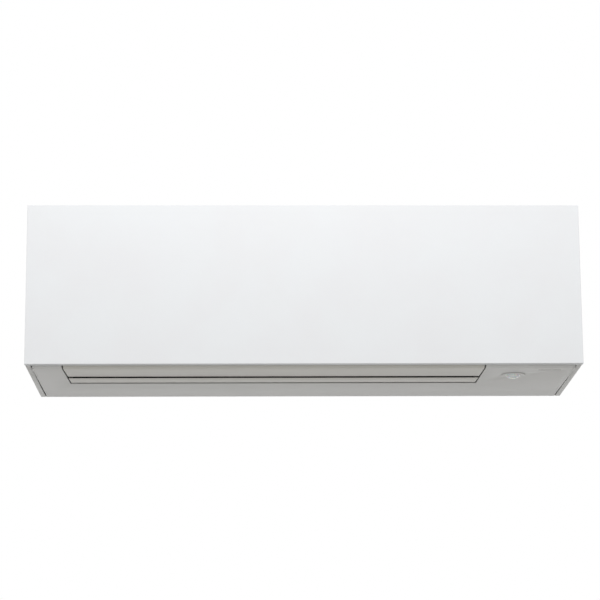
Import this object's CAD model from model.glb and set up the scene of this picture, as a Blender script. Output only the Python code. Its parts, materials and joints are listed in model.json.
# %% [markdown]
# The mini split indoor unit, dressed for its picture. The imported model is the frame: it holds every size
# and joint, and nothing here moves or resizes it. What shows gets a modelled shell or a better finish.

# %% Load the frame
import json
import math

import bmesh
import bpy
from mathutils import Matrix, Vector


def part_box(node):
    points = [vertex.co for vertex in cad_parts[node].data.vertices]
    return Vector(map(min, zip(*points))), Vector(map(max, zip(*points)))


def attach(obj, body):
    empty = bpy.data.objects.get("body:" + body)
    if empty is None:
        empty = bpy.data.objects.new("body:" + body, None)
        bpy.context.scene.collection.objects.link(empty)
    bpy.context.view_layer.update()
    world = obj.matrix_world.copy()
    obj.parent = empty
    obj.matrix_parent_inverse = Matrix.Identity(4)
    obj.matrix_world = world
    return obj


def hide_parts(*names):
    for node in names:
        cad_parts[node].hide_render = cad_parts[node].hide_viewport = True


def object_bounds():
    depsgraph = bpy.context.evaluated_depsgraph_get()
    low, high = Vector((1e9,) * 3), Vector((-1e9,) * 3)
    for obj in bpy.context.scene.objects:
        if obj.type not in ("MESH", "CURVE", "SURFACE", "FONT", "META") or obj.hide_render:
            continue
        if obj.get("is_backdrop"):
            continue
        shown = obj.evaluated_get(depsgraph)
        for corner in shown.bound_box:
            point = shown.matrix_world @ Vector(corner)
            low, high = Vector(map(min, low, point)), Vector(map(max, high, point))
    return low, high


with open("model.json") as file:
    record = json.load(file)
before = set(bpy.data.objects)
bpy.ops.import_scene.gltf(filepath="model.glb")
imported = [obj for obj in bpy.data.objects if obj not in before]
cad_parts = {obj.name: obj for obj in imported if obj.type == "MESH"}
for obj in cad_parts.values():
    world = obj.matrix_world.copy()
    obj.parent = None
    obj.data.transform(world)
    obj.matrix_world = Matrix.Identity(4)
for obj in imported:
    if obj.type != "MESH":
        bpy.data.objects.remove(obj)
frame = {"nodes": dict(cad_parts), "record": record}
cad_box = [list(corner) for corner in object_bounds()]
print("CAD box", [[round(v, 4) for v in corner] for corner in cad_box])

# %% [markdown]
# The few sizes that a box can't tell are written once, in millimetres, here or beside the piece they
# belong to.

# %% Sizes
MM = 0.001
WALL = 2.5 * MM  # moulded walls
EDGE = 1.1 * MM  # round left on moulded outer edges
LIP_RADIUS = 6 * MM  # round of the casing's lower front edge
PIN = 2 * MM  # radius of every hinge pin
PAST = 1 * MM  # how far a cutting tool runs past what it cuts
SEAT = 0.5 * MM  # how deep a joined part is set into its wall


def span(node, axis):
    """Lowest and highest value of a node along one axis."""
    low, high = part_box(node)
    return low[axis], high[axis]


panel_low, panel_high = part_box("front_panel")
cover_low, cover_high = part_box("bottom_cover")
print("front panel", [round(h - l, 4) for l, h in zip(panel_low, panel_high)])

# %% [markdown]
# Colours are picked as sRGB hex, the way paint charts and screens give them, but a shader wants linear
# light. One function does the turn, so a hex value in this file is the colour that the eye should meet.


# %% Colour helper
def linear(hex_colour):
    """sRGB hex to the linear RGBA that shaders use."""
    parts = [int(hex_colour[i : i + 2], 16) / 255 for i in (1, 3, 5)]
    light = [v / 12.92 if v <= 0.04045 else ((v + 0.055) / 1.055) ** 2.4 for v in parts]
    return (*light, 1.0)


# %% [markdown]
# A material is a small network. These helpers add one node with its settings and its links, blend two
# colours along a factor, and close the network with its surface. They keep each recipe readable as a list:
# a setting is a plain value, and a link is another node's output.


# %% Node helpers
def add(tree, kind, settings=None, **sockets):
    """Adds a node. Sockets go by name, with _ for a space, or by i and number. A socket value is linked."""
    node = tree.nodes.new(kind)
    for name, value in (settings or {}).items():
        setattr(node, name, value)
    for name, value in sockets.items():
        numbered = name[0] == "i" and name[1:].isdigit()
        socket = node.inputs[int(name[1:]) if numbered else name.replace("_", " ")]
        if isinstance(value, bpy.types.NodeSocket):
            tree.links.new(value, socket)
        else:
            socket.default_value = value
    return node


def start_material(name):
    """A new material with an empty tree and its object coordinates."""
    material = bpy.data.materials.new(name)
    material.use_nodes = True
    tree = material.node_tree
    tree.nodes.clear()
    place = add(tree, "ShaderNodeTexCoord").outputs["Object"]
    return material, tree, place


def blend(tree, factor, first, second, start=0.0, end=1.0):
    """Goes from one colour to another while the factor goes from start to end."""
    node = add(tree, "ShaderNodeValToRGB", Fac=factor)
    for element, place, colour in zip(node.color_ramp.elements, (start, end), (first, second)):
        element.position = place
        element.color = linear(colour)
    return node.outputs["Color"]


def close(tree, **sockets):
    """Ends a network with its surface shader."""
    surface = add(tree, "ShaderNodeBsdfPrincipled", **sockets)
    add(tree, "ShaderNodeOutputMaterial", Surface=surface.outputs["BSDF"])


# %% [markdown]
# Moulded plastic is never one flat colour. The tool that shapes it leaves a fine texture, here about
# 0.4 mm from grain to grain, and the melt leaves very faint drifts of tone some 90 mm long. Both come from
# noise on object coordinates: the fine one lifts the surface, the broad one shifts the colour a little.


# %% Moulded plastic
def moulded_plastic(name, tone, shade, roughness, grain_mm=0.4, grain_height=0.02, ior=1.53):
    """Injection-moulded plastic between two close tones, with its tool's grain."""
    material, tree, place = start_material(name)
    drift = add(tree, "ShaderNodeTexNoise", Vector=place, Scale=1 / (90 * MM), Detail=3.0)
    colour = blend(tree, drift.outputs["Fac"], shade, tone, 0.35, 0.65)
    grain = add(tree, "ShaderNodeTexNoise", Vector=place, Scale=1 / (grain_mm * MM), Detail=2.0)
    lift = add(tree, "ShaderNodeBump", Height=grain.outputs["Fac"], Strength=grain_height, Distance=0.0002)
    matt = add(tree, "ShaderNodeMapRange", Value=grain.outputs["Fac"], To_Min=roughness - 0.04,
               To_Max=roughness + 0.04)
    close(tree, Base_Color=colour, Roughness=matt.outputs["Result"], IOR=ior, Normal=lift.outputs["Normal"])
    return material


finishes = {
    "white_panel": moulded_plastic("abs_smooth_moulded_white", "#f0f2f4", "#eff0f2", 0.5, 0.8, 0.008),
    "white_casing": moulded_plastic("abs_satin_moulded_white", "#e7e6e4", "#e4e3e1", 0.46, 0.5, 0.03),
    "white_flap": moulded_plastic("abs_satin_moulded_flap_white", "#e0ddd6", "#dddad3", 0.42, 0.5, 0.02),
    "vane_plastic": moulded_plastic("polypropylene_moulded_grey", "#5b5d5f", "#535557", 0.5),
    "inner_plastic": moulded_plastic("polystyrene_moulded_dark_grey", "#46484a", "#3e4042", 0.6),
    "black_plastic": moulded_plastic("abs_glass_filled_moulded_black", "#26272a", "#1f2022", 0.55, 0.6,
                                     0.06),
    "black_rubber": moulded_plastic("rubber_moulded_black", "#1d1d1e", "#171718", 0.8, 0.5, 0.08, 1.52),
    "lamp_lens": moulded_plastic("polycarbonate_moulded_smoked", "#a9a3a1", "#a19b99", 0.4, 0.8, 0.01, 1.5),
}
print(len(finishes), "plastics")

# %% [markdown]
# The sensor's dome is a milky moulding with a fine facet pattern inside, which shows as a soft unevenness.
# A cell pattern about 2.2 mm wide bends the surface slightly, light that travels under the surface makes it
# milky, and a clear coat gives it the shine of a polished mould.


# %% Sensor lens
def sensor_lens():
    """Milky polyethylene lens with faint moulded facets."""
    material, tree, place = start_material("polyethylene_moulded_milky_lens")
    facets = add(tree, "ShaderNodeTexVoronoi", {"feature": "F1"}, Vector=place, Scale=1 / (2.2 * MM))
    colour = blend(tree, facets.outputs["Distance"], "#ffffff", "#f7f6f3")
    lift = add(tree, "ShaderNodeBump", Height=facets.outputs["Distance"], Strength=0.12, Distance=0.0003)
    close(tree, Base_Color=colour, Roughness=0.3, IOR=1.52, Coat_Weight=1.0, Coat_Roughness=0.2,
          Subsurface_Weight=0.4, Subsurface_Scale=2 * MM, Normal=lift.outputs["Normal"])
    return material


finishes["sensor_lens"] = sensor_lens()

# %% [markdown]
# Metals differ by how they were worked. Drawn and rolled metal has fine lines along its length, and hot-dip
# zinc freezes into flakes, called spangle, a few millimetres wide. A stretched noise makes the lines and a
# cell pattern the flakes. Metals keep the shader's default IOR, because their colour sets the reflection.


# %% Metals
def worked_metal(name, tone, shade, roughness, stretch, pattern_mm):
    """Metal with lines drawn out along one axis; stretch gives the scale along x, y and z."""
    material, tree, place = start_material(name)
    drawn = add(tree, "ShaderNodeMapping", Vector=place, Scale=stretch)
    lines = add(tree, "ShaderNodeTexNoise", Vector=drawn.outputs["Vector"], Scale=1 / (pattern_mm * MM),
                Detail=4.0)
    colour = blend(tree, lines.outputs["Fac"], shade, tone, 0.3, 0.7)
    matt = add(tree, "ShaderNodeMapRange", Value=lines.outputs["Fac"], To_Min=roughness - 0.08,
               To_Max=roughness + 0.08)
    lift = add(tree, "ShaderNodeBump", Height=lines.outputs["Fac"], Strength=0.06, Distance=0.0001)
    close(tree, Base_Color=colour, Metallic=1.0, Roughness=matt.outputs["Result"],
          Normal=lift.outputs["Normal"])
    return material


def zinc_spangle():
    """Hot-dip galvanised sheet: flakes of zinc about 6 mm wide, each a slightly different grey."""
    material, tree, place = start_material("steel_sheet_galvanised")
    flakes = add(tree, "ShaderNodeTexVoronoi", Vector=place, Scale=1 / (6 * MM))
    tone = add(tree, "ShaderNodeSeparateColor", Color=flakes.outputs["Color"])
    colour = blend(tree, tone.outputs["Red"], "#9da1a4", "#b9bdc0")
    matt = add(tree, "ShaderNodeMapRange", Value=tone.outputs["Red"], To_Min=0.36, To_Max=0.52)
    close(tree, Base_Color=colour, Metallic=1.0, Roughness=matt.outputs["Result"])
    return material


finishes["copper"] = worked_metal("copper_drawn_tube", "#c98a66", "#b37049", 0.34, (1, 1, 0.2), 2.0)
finishes["brass"] = worked_metal("brass_turned", "#c7a862", "#b4934c", 0.32, (4, 1, 1), 1.2)
finishes["steel"] = worked_metal("steel_zinc_plated", "#b3b6b9", "#9b9ea1", 0.36, (0.3, 1, 1), 1.5)
finishes["galvanised_sheet"] = zinc_spangle()

# %% [markdown]
# The coil is hundreds of thin aluminium fins, 1.3 mm apart, pressed onto the tubes. Modelling each would
# cost far more than it shows, so a wave along the unit draws fin and gap: bright edges, dark slots between.


# %% Coil fins
def coil_fins():
    """Pressed aluminium fins with a coating, 1.3 mm apart along x."""
    material, tree, place = start_material("aluminium_fins_pressed")
    split = add(tree, "ShaderNodeSeparateXYZ", Vector=place)
    turns = add(tree, "ShaderNodeMath", {"operation": "MULTIPLY"}, i0=split.outputs["X"],
                i1=1 / (1.3 * MM))
    saw = add(tree, "ShaderNodeMath", {"operation": "FRACT"}, i0=turns.outputs[0])
    edge = add(tree, "ShaderNodeMath", {"operation": "PINGPONG"}, i0=saw.outputs[0], i1=0.5)
    colour = blend(tree, edge.outputs[0], "#cfd3d6", "#4c5054", 0.12, 0.3)
    lift = add(tree, "ShaderNodeBump", {"invert": True}, Height=edge.outputs[0], Strength=0.6,
               Distance=0.0006)
    close(tree, Base_Color=colour, Metallic=0.85, Roughness=0.42, Normal=lift.outputs["Normal"])
    return material


finishes["fin_aluminium"] = coil_fins()

# %% [markdown]
# A circuit board is glass cloth and resin under green solder mask. Copper tracks show through as slightly
# lighter, squared lanes. A brick pattern gives such lanes about 3 mm wide.


# %% Circuit board
def circuit_board():
    """Green solder mask over copper lanes."""
    material, tree, place = start_material("fibreglass_board_solder_mask")
    turned = add(tree, "ShaderNodeMapping", Vector=place, Rotation=(math.radians(90), 0, 0))
    lanes = add(tree, "ShaderNodeTexBrick", Vector=turned.outputs["Vector"], Color1=linear("#2d6c44"),
                Color2=linear("#28613c"), Mortar=linear("#3f8757"), Scale=1 / 0.012, Mortar_Size=0.03)
    close(tree, Base_Color=lanes.outputs["Color"], Roughness=0.38, IOR=1.55)
    return material


finishes["circuit_board"] = circuit_board()

# %% [markdown]
# The filter is a net of grey polypropylene thread in a moulded rim. The real threads lie 0.9 mm apart; they
# are drawn 2 mm apart here, because finer ones would melt into one grey in the picture.


# %% Filter net
def filter_net():
    """Dark net: two families of threads, 2 mm apart, over a darker ground."""
    material, tree, place = start_material("polypropylene_net_woven")
    split = add(tree, "ShaderNodeSeparateXYZ", Vector=place)
    threads = []
    for axis in ("X", "Y"):
        turns = add(tree, "ShaderNodeMath", {"operation": "MULTIPLY"}, i0=split.outputs[axis],
                    i1=1 / (2 * MM))
        saw = add(tree, "ShaderNodeMath", {"operation": "FRACT"}, i0=turns.outputs[0])
        threads.append(add(tree, "ShaderNodeMath", {"operation": "PINGPONG"}, i0=saw.outputs[0], i1=0.5))
    nearest = add(tree, "ShaderNodeMath", {"operation": "MINIMUM"}, i0=threads[0].outputs[0],
                  i1=threads[1].outputs[0])
    colour = blend(tree, nearest.outputs[0], "#5d6165", "#2c2e31", 0.14, 0.26)
    lift = add(tree, "ShaderNodeBump", {"invert": True}, Height=nearest.outputs[0], Strength=0.5,
               Distance=0.0006)
    close(tree, Base_Color=colour, Roughness=0.62, IOR=1.49, Normal=lift.outputs["Normal"])
    return material


finishes["filter_net"] = filter_net()

# %% [markdown]
# The record says which slot each node takes its finish from, so one loop dresses the whole frame. A node
# keeps its mesh; only what its material slot holds is changed.

# %% Dress the frame's nodes
slot_of = {part["node"]: part["material_slot"] for part in frame["record"]["subparts"]}
for name, node in frame["nodes"].items():
    node.data.materials.clear()
    node.data.materials.append(finishes[slot_of[name]])
print(len(slot_of), "nodes dressed in", len(finishes), "finishes")

# %% [markdown]
# The frame's own pieces have the right sizes but sharp, plain edges. The mouldings that show are modelled
# again by hand: a primitive is added at its size and place, shaped in edit mode, and finished with
# modifiers. Operators act on what is selected, so these helpers clear the selection first and then pick
# faces or edges by where they lie.


# %% Modelling helpers
def begin():
    """Object mode, with nothing selected."""
    if bpy.context.object and bpy.context.object.mode != "OBJECT":
        bpy.ops.object.mode_set(mode="OBJECT")
    bpy.ops.object.select_all(action="DESELECT")


def hold(piece):
    """Makes a piece the only selected and active one, in object mode."""
    begin()
    piece.select_set(True)
    bpy.context.view_layer.objects.active = piece


def settle(name):
    """Names the new primitive and puts its place and size into its mesh."""
    piece = bpy.context.object
    piece.name = name
    piece.data.name = name
    hold(piece)
    bpy.ops.object.transform_apply(location=True, rotation=True, scale=True)
    return piece


def block(name, low, high):
    """A block between its lowest and highest corner."""
    begin()
    middle = [(l + h) / 2 for l, h in zip(low, high)]
    bpy.ops.mesh.primitive_cube_add(size=1, location=middle, scale=[h - l for l, h in zip(low, high)])
    return settle(name)


def rod(name, start, end, radius, sides=32):
    """A rod between two points that differ along one axis."""
    begin()
    way = Vector(end) - Vector(start)
    middle = (Vector(start) + Vector(end)) / 2
    turn = way.to_track_quat("Z", "Y").to_euler()
    bpy.ops.mesh.primitive_cylinder_add(vertices=sides, radius=radius, depth=way.length, location=middle,
                                        rotation=turn)
    return settle(name)


def pick(piece, kind, test):
    """In edit mode, selects each vertex, edge or face whose corners all pass the test."""
    if piece.mode != "EDIT":
        hold(piece)
        bpy.ops.object.mode_set(mode="EDIT")
    bpy.ops.mesh.select_mode(type=kind)
    bpy.ops.mesh.select_all(action="DESELECT")
    mesh = bmesh.from_edit_mesh(piece.data)
    for item in {"VERT": mesh.verts, "EDGE": mesh.edges, "FACE": mesh.faces}[kind]:
        corners = [item.co] if kind == "VERT" else [v.co for v in item.verts]
        if all(test(corner) for corner in corners):
            item.select_set(True)
    bmesh.update_edit_mesh(piece.data)


def near(value, target, slack=0.02 * MM):
    """Whether two lengths are the same but for rounding."""
    return abs(value - target) < slack


def modify(piece, kind, **settings):
    """Adds a modifier and applies it."""
    hold(piece)
    step = piece.modifiers.new(kind.title(), kind)
    for name, value in settings.items():
        setattr(step, name, value)
    bpy.ops.object.modifier_apply(modifier=step.name)


def cut_with(piece, tool, operation="DIFFERENCE"):
    """Cuts a piece with another, or keeps what both share, and removes the other."""
    modify(piece, "BOOLEAN", object=tool, operation=operation, solver="EXACT")
    bpy.data.objects.remove(tool)


def merge(piece, *others):
    """Makes several meshes one piece."""
    hold(piece)
    for other in others:
        other.select_set(True)
    bpy.ops.object.join()
    return piece


def soften(piece, width, segments=2, angle=40):
    """Rounds every edge that turns more than the angle, as a mould's tool leaves it."""
    modify(piece, "BEVEL", width=width, segments=segments, limit_method="ANGLE",
           angle_limit=math.radians(angle), use_clamp_overlap=True)


def hang(piece, body, *nodes):
    """Shades, finishes and mounts a piece that stands for these nodes."""
    hold(piece)
    bpy.ops.object.shade_smooth_by_angle(angle=math.radians(35))
    piece.data.materials.clear()
    piece.data.materials.append(finishes[slot_of[nodes[0]]])
    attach(piece, body)
    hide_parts(*nodes)
    print(piece.name, len(piece.data.polygons), "faces, on", body)


print("helpers ready")

# %% [markdown]
# The front panel is one long injection moulding: a shallow tray of ABS with its open side to the wall.
# It could be a solid bevelled block, but opened it would show no hollow. So the block's rear face is inset
# by the wall and extruded forwards, and the front edges then get their 1 mm round with the bevel tool.

# %% Front panel
PANEL_ROUND = 1 * MM
PANEL_REAR_ROUND = 2.2 * MM
HINGE_INSET = 8 * MM  # from the panel's face, and from its top
LUG_X = 482 * MM  # middle of each hinge lug
NOTCH_HALF, NOTCH_TALL = 3 * MM, 12.9 * MM
panel_back = -278.4 * MM
panel_inner = panel_low[1] + WALL
hinge_y, hinge_z = panel_low[1] + HINGE_INSET, panel_high[2] - HINGE_INSET

panel = block("front_panel_shell", panel_low, (panel_high[0], panel_back, panel_high[2]))
pick(panel, "FACE", lambda c: near(c.y, panel_back))
bpy.ops.mesh.inset(thickness=WALL)
bpy.ops.mesh.extrude_region_move(TRANSFORM_OT_translate={"value": (0, panel_inner - panel_back, 0)})
pick(panel, "EDGE", lambda c: near(c.y, panel_low[1]))
bpy.ops.mesh.bevel(offset=PANEL_ROUND, segments=4, affect="EDGES")
pick(panel, "EDGE", lambda c: near(c.y, panel_back) and near(c.z, panel_high[2]))
bpy.ops.mesh.bevel(offset=PANEL_REAR_ROUND, segments=4, affect="EDGES")
begin()
for way in (-1, 1):
    lug = way * LUG_X
    cut_with(panel, block("notch", (lug - NOTCH_HALF, panel_inner - 0.3 * MM, panel_high[2] - NOTCH_TALL),
                          (lug + NOTCH_HALF, panel_back + PAST, panel_high[2] + PAST)))
soften(panel, 0.25 * MM, 2)
print("front panel shell", len(panel.data.polygons), "faces")

# %% [markdown]
# Inside the panel, two ribs keep it flat and a cheek at each end carries the hinge pin. They are small
# blocks and rods that the same tool moulds in one piece with the panel, so they are joined to its mesh.

# %% Panel ribs, cheeks and pins
RIB_TALL, RIB_HALF = 4 * MM, 1 * MM
CHEEK_INNER, CHEEK_OUTER = 485 * MM, 488 * MM
PIN_TIP, PIN_ROOT = 480.6 * MM, 485.5 * MM
panel_parts = []
for share in (1 / 3, 2 / 3):
    height = panel_low[2] + share * (panel_high[2] - panel_low[2])
    panel_parts.append(block("rib", (panel_low[0] + 1 * MM, panel_inner - SEAT, height - RIB_HALF),
                             (panel_high[0] - 1 * MM, panel_inner + RIB_TALL, height + RIB_HALF)))
for way in (-1, 1):
    xs = sorted((way * CHEEK_INNER, way * CHEEK_OUTER))
    cheek = block("cheek", (xs[0], panel_inner - SEAT, hinge_z - 6 * MM),
                  (xs[1], hinge_y + 4.5 * MM, panel_high[2] - WALL + SEAT))
    soften(cheek, 0.8 * MM, 3)
    tip, root = way * PIN_TIP, way * PIN_ROOT
    panel_parts += [cheek, rod("pin", (tip, hinge_y, hinge_z), (root, hinge_y, hinge_z), PIN, 24)]
merge(panel, *panel_parts)
hang(panel, "front_panel", "front_panel")

# %% [markdown]
# Each side cover closes the casing's end. It is a flat tray seen from the side, with its lower front
# corner drawn up to meet the panel. The block's corner is moved first, while it is a single edge, because
# after the hollow and the rounds it would be dozens of points. Three clips hold the cover, and a small rib
# closes the groove beside it at the wall.

# %% Side covers
lip_rise = panel_low[2] - span("side_cover_left", 2)[0]
COVER_WIDTH = 9.4 * MM
COVER_TOP_ROUND = 3 * MM
GROOVE_ROUND = 0.9 * MM
CLIP_REACHES = (40 * MM, 150 * MM, 230 * MM)  # from the wall
CLIP_LONG = 12 * MM
CLIP_FOOT, CLIP_TOP = 5 * MM, 10 * MM  # above the cover's lower edge
GROOVE_EASE = 1.2 * MM  # opens the groove between these covers and the underside
skin_end = cover_high[0] - GROOVE_EASE
for side, way in (("left", -1), ("right", 1)):
    node = "side_cover_" + side
    low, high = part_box(node)
    inner = high[0] if way < 0 else low[0]
    outer = low[0] if way < 0 else high[0]
    edge = outer - way * COVER_WIDTH
    xs = sorted((edge, outer))
    cover = block(node + "_shell", (xs[0], low[1], low[2]), (xs[1], high[1], high[2]))
    pick(cover, "VERT", lambda c: near(c.y, low[1]) and near(c.z, low[2]))
    bpy.ops.transform.translate(value=(0, 0, lip_rise))
    pick(cover, "FACE", lambda c: near(c.x, edge))
    bpy.ops.mesh.inset(thickness=WALL)
    bpy.ops.mesh.extrude_region_move(TRANSFORM_OT_translate={"value": (way * (COVER_WIDTH - WALL), 0, 0)})
    pick(cover, "EDGE", lambda c: near(c.z, high[2]) and (near(c.y, low[1]) or near(c.y, high[1])))
    bpy.ops.mesh.bevel(offset=COVER_TOP_ROUND, segments=4, affect="EDGES")
    pick(cover, "EDGE", lambda c: near(c.x, outer))
    bpy.ops.mesh.bevel(offset=EDGE, segments=3, affect="EDGES")
    pick(cover, "EDGE", lambda c: near(c.x, edge) and near(c.z, low[2]))
    bpy.ops.mesh.bevel(offset=GROOVE_ROUND, segments=3, affect="EDGES")
    begin()
    soften(cover, 0.2 * MM, 2)
    clips = []
    for reach in CLIP_REACHES:
        ends = sorted((inner, outer - way * WALL / 2))
        clips.append(block("clip", (ends[0], -reach - CLIP_LONG, low[2] + CLIP_FOOT),
                           (ends[1], -reach, low[2] + CLIP_TOP)))
    ends = sorted((edge + way * 1 * MM, way * (skin_end + 0.3 * MM)))
    clips.append(block("groove_end", (ends[0], -9 * MM, low[2] + 0.4 * MM),
                       (ends[1], -3.2 * MM, low[2] + CLIP_TOP)))
    merge(cover, *clips)
    hang(cover, "casing", node)

# %% [markdown]
# The underside is a thin wall that rises a little to the back and turns up at the front into the lip.
# A solid block cut to shape would lose that wall. Here a block keeps only its bottom and front faces, the
# edge between them is bevelled to a 6 mm round, and Solidify gives the skin its thickness inwards.

# %% Underside skin
casing_front = cover_low[1]
LIP_DROP = 4.2 * MM  # below the panel's lower edge
LIP_TALL = 13.5 * MM
lip_base = panel_low[2] - LIP_DROP
lip_top = lip_base + LIP_TALL
back_edge = cover_high[1]


def under(y):
    """Height of the underside's outer face at a distance from the wall."""
    share = (back_edge - y) / (back_edge - casing_front - LIP_RADIUS)
    return cover_low[2] + (lip_base - cover_low[2]) * share


def underside_skin(name, x0, x1, rear, thickness):
    """The underside from the lip back to y = rear, as a wall of one thickness."""
    skin = block(name, (x0, casing_front, lip_base), (x1, rear, lip_top))
    pick(skin, "FACE", lambda c: near(c.z, lip_top))
    bpy.ops.mesh.delete(type="FACE")
    for test in (lambda c: near(c.x, x0), lambda c: near(c.x, x1), lambda c: near(c.y, rear)):
        pick(skin, "FACE", test)
        bpy.ops.mesh.delete(type="FACE")
    pick(skin, "EDGE", lambda c: near(c.y, casing_front) and near(c.z, lip_base))
    bpy.ops.mesh.bevel(offset=LIP_RADIUS, segments=8, affect="EDGES")
    pick(skin, "VERT", lambda c: near(c.y, rear) and near(c.z, lip_base))
    bpy.ops.transform.translate(value=(0, 0, under(rear) - lip_base))
    begin()
    modify(skin, "SOLIDIFY", thickness=thickness, offset=-1, use_even_offset=True)
    return skin


print("underside", round(under(back_edge), 4), "at the wall,", round(lip_base, 4), "at the lip")

# %% [markdown]
# The outlet's ends draw in towards the wall, so the same tapered block serves three times: it cuts the
# mouth in the underside, and with a small running gap it trims the two flaps that close the mouth.

# %% Outlet block
OUTLET_LEFT, OUTLET_RIGHT = -434.5 * MM, 326.4 * MM
OUTLET_TAPER = 3.5 * MM
OUTLET_REAR = -132 * MM
FLAP_END_GAP = 2.6 * MM
HOLE_LOW, HOLE_HIGH = -155 * MM, -140 * MM  # heights between which a hole is cut through the underside
TRIM_LOW, TRIM_HIGH = -160 * MM, 0  # heights between which the outlet block trims a flap


def outlet_block(inset, front, rear, low, high):
    """The outlet's plan between two distances from the wall, drawn in by the inset."""
    tool = block("outlet_tool", (OUTLET_LEFT, front, low), (OUTLET_RIGHT, rear, high))
    for end, way in ((OUTLET_LEFT, 1), (OUTLET_RIGHT, -1)):
        for y in (front, rear):
            drawn = OUTLET_TAPER * (y - casing_front) / (OUTLET_REAR - casing_front)
            pick(tool, "VERT", lambda c: near(c.x, end) and near(c.y, y))
            bpy.ops.transform.translate(value=(way * (drawn + inset), 0, 0))
    begin()
    return tool


# %% [markdown]
# The bottom cover is the underside skin with the outlet cut out. Two walls stand up at the outlet's ends
# and carry the flaps' pins, and low walls close its sides. The mouth's rear edge is undercut, so that the
# eye meets a thin edge and then the dark duct. The sensor and the lamp look out through holes at the right.

# %% Bottom cover
sensor_low, sensor_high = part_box("sensor_ring")
sensor_x, sensor_y = (sensor_low[0] + sensor_high[0]) / 2, (sensor_low[1] + sensor_high[1]) / 2
lamp_low, lamp_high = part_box("lamp_window")
lamp_x, lamp_y = (lamp_low[0] + lamp_high[0]) / 2, (lamp_low[1] + lamp_high[1]) / 2

cover = underside_skin("bottom_cover_shell", -skin_end, skin_end, back_edge, WALL)
MOUTH_EDGE = 0.4 * MM  # left of the skin's thickness at the mouth's rear
UNDERCUT = 3.5 * MM
SENSOR_HOLE = 19 * MM
LAMP_HOLE_X, LAMP_HOLE_Y = 21 * MM, 2.5 * MM
cut_with(cover, outlet_block(0, casing_front - PAST, OUTLET_REAR, cover_low[2] - 5 * MM, lip_top + 5 * MM))
mouth_edge = under(OUTLET_REAR) + MOUTH_EDGE
undercut = block("undercut", (OUTLET_LEFT + OUTLET_TAPER, OUTLET_REAR - 0.05 * MM, mouth_edge),
                 (OUTLET_RIGHT - OUTLET_TAPER, OUTLET_REAR + UNDERCUT, mouth_edge + 2 * UNDERCUT))
pick(undercut, "VERT", lambda c: c.y > OUTLET_REAR and near(c.z, mouth_edge))
bpy.ops.transform.translate(value=(0, 0, UNDERCUT))
begin()
cut_with(cover, undercut)
cut_with(cover, rod("sensor_hole", (sensor_x, sensor_y, HOLE_LOW), (sensor_x, sensor_y, HOLE_HIGH),
                    SENSOR_HOLE, 64))
cut_with(cover, block("lamp_hole", (lamp_x - LAMP_HOLE_X, lamp_y - LAMP_HOLE_Y, HOLE_LOW),
                      (lamp_x + LAMP_HOLE_X, lamp_y + LAMP_HOLE_Y, HOLE_HIGH)))
soften(cover, 0.15 * MM, 2)
print("underside cut,", len(cover.data.polygons), "faces")

# %% [markdown]
# The walls and posts inside the bottom cover are plain plates and pegs. Each wall is a block, bored where
# the two flaps' pins turn, and all of them are joined to the cover, because they leave the tool with it.

# %% Bottom cover's walls and posts
PIVOTS = {"front": (-200 * MM, -140.5 * MM), "rear": (-147 * MM, -140.5 * MM)}
WALL_INSET = 0.4 * MM  # from the outlet's end to the wall beside it
PIN_HOLE = 4.4 * MM
END_WALL_TALL = 12 * MM
POST_RADIUS, POST_TOP = 2.5 * MM, 8.7 * MM
inside = []
for wall_low, wall_high in ((OUTLET_LEFT - WALL_INSET - WALL, OUTLET_LEFT - WALL_INSET),
                            (OUTLET_RIGHT + WALL_INSET, OUTLET_RIGHT + WALL_INSET + WALL)):
    plate = block("upstand", (wall_low, casing_front + 7 * MM, under(casing_front / 2) + 1.2 * MM),
                  (wall_high, OUTLET_REAR - 1.5 * MM, cover_high[2]))
    for y, z in PIVOTS.values():
        cut_with(plate, rod("pin_hole", (wall_low - PAST, y, z), (wall_high + PAST, y, z), PIN_HOLE, 32))
    soften(plate, 0.3 * MM, 2)
    inside.append(plate)
for x, way in ((-skin_end, 1), (skin_end, -1)):
    xs = sorted((x, x + way * WALL))
    inside.append(block("end_wall", (xs[0], casing_front + WALL, cover_low[2] + WALL / 2),
                        (xs[1], back_edge - 1 * MM, cover_low[2] + END_WALL_TALL)))
for x, y in ((sensor_x - 18 * MM, sensor_y - 28 * MM), (lamp_x + 23 * MM, sensor_y + 20 * MM)):
    inside.append(rod("post", (x, y, under(y) + 1 * MM), (x, y, cover_low[2] + POST_TOP), POST_RADIUS, 24))
merge(cover, *inside)
hang(cover, "casing", "bottom_cover")

# %% [markdown]
# Two flaps close the outlet. The front one carries the lip across the mouth, so it starts as the same
# underside skin, trimmed by the tapered outlet block less a running gap. Its arms and pins are joined on.


# %% Flap arms
ARM_HALF, ARM_THICK = 3.6 * MM, 3 * MM


def flap_arms(flap_node, pivot):
    """An arm with an eye and a pin at each end of a flap."""
    y, z = pivot
    low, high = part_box(flap_node)
    drawn = OUTLET_TAPER * (y + ARM_HALF - casing_front) / (OUTLET_REAR - casing_front)
    parts = []
    for tip, wall_x, way in ((low[0], OUTLET_LEFT, -1), (high[0], OUTLET_RIGHT, 1)):
        face = wall_x - way * (drawn + FLAP_END_GAP + 0.4 * MM)
        xs = sorted((face, face - way * ARM_THICK))
        web = block("web", (xs[0], y - ARM_HALF, under(y) + 1.2 * MM), (xs[1], y + ARM_HALF, z))
        eye = rod("eye", (xs[0], y, z), (xs[1], y, z), ARM_HALF, 32)
        parts += [web, eye, rod("pin", (face - way * 1 * MM, y, z), (tip, y, z), PIN, 24)]
    return parts


# %% [markdown]
# The front flap's lip edge faces the room, so its rounds are finer than the casing's. Its rear edge is
# drawn up a little, which opens the gap to the eye below.

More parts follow.
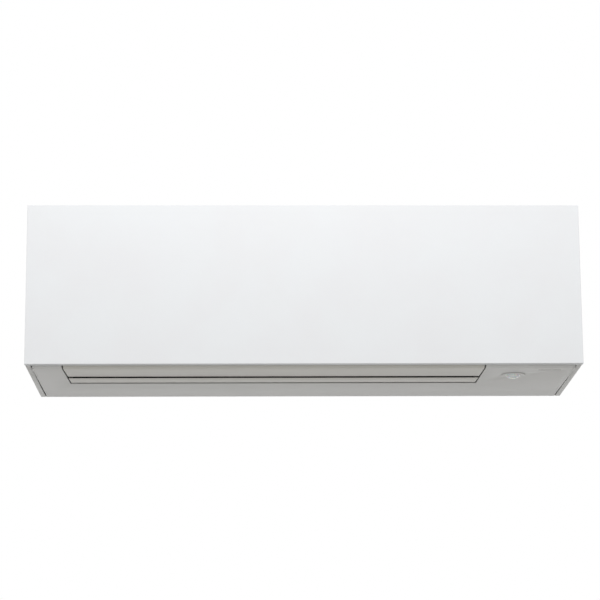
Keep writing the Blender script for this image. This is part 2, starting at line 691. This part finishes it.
# %% Front flap
FLAP_WALL = 2.4 * MM
FLAP_REAR_LIFT = 0.6 * MM
flap_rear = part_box("front_flap")[1][1]
flap = underside_skin("front_flap_shell", OUTLET_LEFT, OUTLET_RIGHT, flap_rear, FLAP_WALL)
pick(flap, "VERT", lambda c: near(c.y, flap_rear, 1 * MM))
bpy.ops.transform.translate(value=(0, 0, FLAP_REAR_LIFT))
begin()
trim = outlet_block(FLAP_END_GAP, casing_front - PAST, flap_rear + PAST, TRIM_LOW, TRIM_HIGH)
cut_with(flap, trim, "INTERSECT")
soften(flap, 0.3 * MM, 2)
merge(flap, *flap_arms("front_flap", PIVOTS["front"]))
hang(flap, "front_flap", "front_flap")

# %% [markdown]
# The rear flap is a flat blade behind the front one. Its front edge is thin and stands a little below the
# underside, and its rear edge a little above, so both gaps show the dark duct and not a lit edge.

# %% Rear flap
FRONT_FACE, FRONT_THICK = -0.8 * MM, 0.4 * MM  # above the underside's plane, and up from there
REAR_FACE, REAR_THICK = 0.6 * MM, 2.2 * MM
START_LOW, START_HIGH = -149.4 * MM, -147 * MM  # the block's heights before its corners are moved
blade_low, blade_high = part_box("rear_flap")
blade = block("rear_flap_shell", (OUTLET_LEFT, blade_low[1], START_LOW),
              (OUTLET_RIGHT, blade_high[1], START_HIGH))
for y, face, thick in ((blade_low[1], FRONT_FACE, FRONT_THICK), (blade_high[1], REAR_FACE, REAR_THICK)):
    pick(blade, "VERT", lambda c: near(c.y, y) and near(c.z, START_LOW))
    bpy.ops.transform.translate(value=(0, 0, under(y) + face - START_LOW))
    pick(blade, "VERT", lambda c: near(c.y, y) and near(c.z, START_HIGH))
    bpy.ops.transform.translate(value=(0, 0, under(y) + face + thick - START_HIGH))
begin()
cut_with(blade, outlet_block(FLAP_END_GAP, blade_low[1] - PAST, blade_high[1] + PAST, TRIM_LOW, TRIM_HIGH),
         "INTERSECT")
soften(blade, 0.2 * MM, 2)
merge(blade, *flap_arms("rear_flap", PIVOTS["rear"]))
hang(blade, "rear_flap", "rear_flap")

# %% [markdown]
# The sensor looks down from the right of the underside. Its ring is a disc with a collar above it: the
# collar is an inset face extruded up, and the bore is made by inset faces at both ends that are bridged.

# %% Sensor ring
RING_RADIUS, COLLAR_RADIUS, BORE_RADIUS = 22 * MM, 18.6 * MM, 12.9 * MM
RING_GAP = 0.3 * MM  # between the disc and the underside
sensor_face = under(sensor_y)
ring = rod("sensor_ring_shell", (sensor_x, sensor_y, sensor_low[2]),
           (sensor_x, sensor_y, sensor_face - RING_GAP), RING_RADIUS, 96)
pick(ring, "FACE", lambda c: near(c.z, sensor_face - RING_GAP))
bpy.ops.mesh.inset(thickness=RING_RADIUS - COLLAR_RADIUS)
collar_top = sensor_high[2] - sensor_face + RING_GAP
bpy.ops.mesh.extrude_region_move(TRANSFORM_OT_translate={"value": (0, 0, collar_top)})
bpy.ops.mesh.inset(thickness=COLLAR_RADIUS - BORE_RADIUS)
begin()
cut_with(ring, rod("bore", (sensor_x, sensor_y, sensor_low[2] - PAST),
                   (sensor_x, sensor_y, sensor_high[2] + PAST), BORE_RADIUS, 96))
soften(ring, 0.3 * MM, 2)
hang(ring, "casing", "sensor_ring")

# %% [markdown]
# The dome is half a flattened sphere with a straight rim that goes up into the collar. A UV sphere gives
# the round; its upper half is deleted, the open edge is extruded up, and Solidify makes it a thin lens.

# %% Sensor dome
LENS_WALL = 1.5 * MM
dome_low, dome_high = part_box("sensor_dome")
dome_radius = (dome_high[0] - dome_low[0]) / 2
begin()
bpy.ops.mesh.primitive_uv_sphere_add(segments=64, ring_count=32, radius=1,
                                     location=(sensor_x, sensor_y, sensor_face),
                                     scale=(dome_radius, dome_radius, sensor_face - dome_low[2]))
dome = settle("sensor_dome_shell")
pick(dome, "VERT", lambda c: c.z > sensor_face + 0.02 * MM)
bpy.ops.mesh.delete(type="VERT")
pick(dome, "EDGE", lambda c: near(c.z, sensor_face))
bpy.ops.mesh.extrude_region_move(TRANSFORM_OT_translate={"value": (0, 0, dome_high[2] - sensor_face)})
begin()
modify(dome, "SOLIDIFY", thickness=LENS_WALL, offset=-1)
hang(dome, "casing", "sensor_dome")

# %% [markdown]
# The lamp's window is a slim smoked bar, flush with the underside, on a flange that holds it from inside.

# %% Lamp window
BAR_X, BAR_Y, BAR_TALL = 20.6 * MM, 2.1 * MM, 3.1 * MM
lens_face = under(lamp_y)
bar = block("lamp_window_shell", (lamp_x - BAR_X, lamp_y - BAR_Y, lens_face),
            (lamp_x + BAR_X, lamp_y + BAR_Y, lens_face + BAR_TALL))
flange = block("flange", (lamp_low[0], lamp_low[1], lens_face + 3 * MM), lamp_high)
soften(bar, 0.5 * MM, 3)
soften(flange, 0.2 * MM, 2)
merge(bar, flange)
hang(bar, "casing", "lamp_window")

# %% [markdown]
# The room is a plain pale floor about 2.2 m below the unit, which hangs high on a wall. The world is white
# to the camera and to reflections, and a plain grey to everything else, so that the background is bright
# while the lamps alone set how light the plastic is.

# %% Floor and world
FLOOR_Z, FLOOR_SIZE = -2.2, 14
ROOM_LIGHT, WHITE = 0.25, 1.0
begin()
bpy.ops.mesh.primitive_grid_add(x_subdivisions=8, y_subdivisions=8, size=FLOOR_SIZE,
                                location=(0, -2, FLOOR_Z))
floor = settle("floor")
floor.data.materials.append(moulded_plastic("floor_matt_pale", "#d9d9d7", "#d5d5d3", 0.8, 3.0))
floor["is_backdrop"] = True

world = bpy.data.worlds.new("studio")
bpy.context.scene.world = world
world.use_nodes = True
sky = world.node_tree
sky.nodes.clear()
path = add(sky, "ShaderNodeLightPath").outputs
seen = add(sky, "ShaderNodeMath", {"operation": "MAXIMUM"}, i0=path["Is Camera Ray"],
           i1=path["Is Glossy Ray"])
seen = add(sky, "ShaderNodeMath", {"operation": "MAXIMUM"}, i0=seen.outputs[0],
           i1=path["Is Transmission Ray"])
room = add(sky, "ShaderNodeBackground", Color=(1, 1, 1, 1), Strength=ROOM_LIGHT)
white = add(sky, "ShaderNodeBackground", Color=(1, 1, 1, 1), Strength=WHITE)
choice = add(sky, "ShaderNodeMixShader", i0=seen.outputs[0], i1=room.outputs[0], i2=white.outputs[0])
sky.links.new(choice.outputs[0], add(sky, "ShaderNodeOutputWorld").inputs["Surface"])
print("world ready")

# %% [markdown]
# One wide lamp high in front lights the face of the unit evenly. A weaker one stands low in front, near
# the eye: it grazes the underside, which stays darker than the face, and picks out the sensor's dome.


# %% Lamps
def lamp(name, place, aim, size, power):
    """A square area lamp at a place, turned to its aim."""
    begin()
    turn = (Vector(aim) - Vector(place)).to_track_quat("-Z", "Y").to_euler()
    bpy.ops.object.light_add(type="AREA", location=place, rotation=turn)
    light = bpy.context.object
    light.name = name
    light.data.shape = "SQUARE"
    light.data.size = size
    light.data.energy = power


lamp("key", place=(0.0, -7.6, 6.0), aim=(0, -0.2, 0), size=3.6, power=650)
lamp("fill", place=(0.2, -5.0, -1.4), aim=(0, -0.2, -0.1), size=2.4, power=6)
print("two lamps")

# %% [markdown]
# The photograph was taken from below and straight in front, with a long lens. The place and turn here
# were worked out from where the panel's corners and the underside's back edge fall in the picture.

# %% Camera
EYE = Vector((-0.089, -3.815, -0.8525))
PITCH, YAW, ROLL = math.radians(11.48), math.radians(1.31), math.radians(-0.36)
LENS, FRAME_RISE = 120.96, 0.1
begin()
ahead = Vector((math.sin(YAW) * math.cos(PITCH), math.cos(YAW) * math.cos(PITCH), math.sin(PITCH)))
level = Vector((math.cos(YAW), -math.sin(YAW), 0))
upright = level.cross(ahead)
right = level * math.cos(ROLL) + upright * math.sin(ROLL)
turned = Matrix((right, right.cross(ahead), -ahead)).transposed()
bpy.ops.object.camera_add(location=EYE, rotation=turned.to_euler())
camera = bpy.context.object
camera.data.lens = LENS
camera.data.sensor_width = 36
camera.data.shift_y = FRAME_RISE
camera.data.clip_end = 60
bpy.context.scene.camera = camera
bpy.context.scene.view_settings.view_transform = "Standard"
print("camera", round(camera.data.lens, 1), "mm")

# %% [markdown]
# The size of what is drawn must stay inside the frame's box, so both boxes are written down to compare.

# %% Sizes and finish
begin()
seen_box = [list(corner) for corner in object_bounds()]
for edge_cad, edge_seen in zip(cad_box, seen_box):
    print([round(v, 4) for v in edge_cad], [round(v, 4) for v in edge_seen])
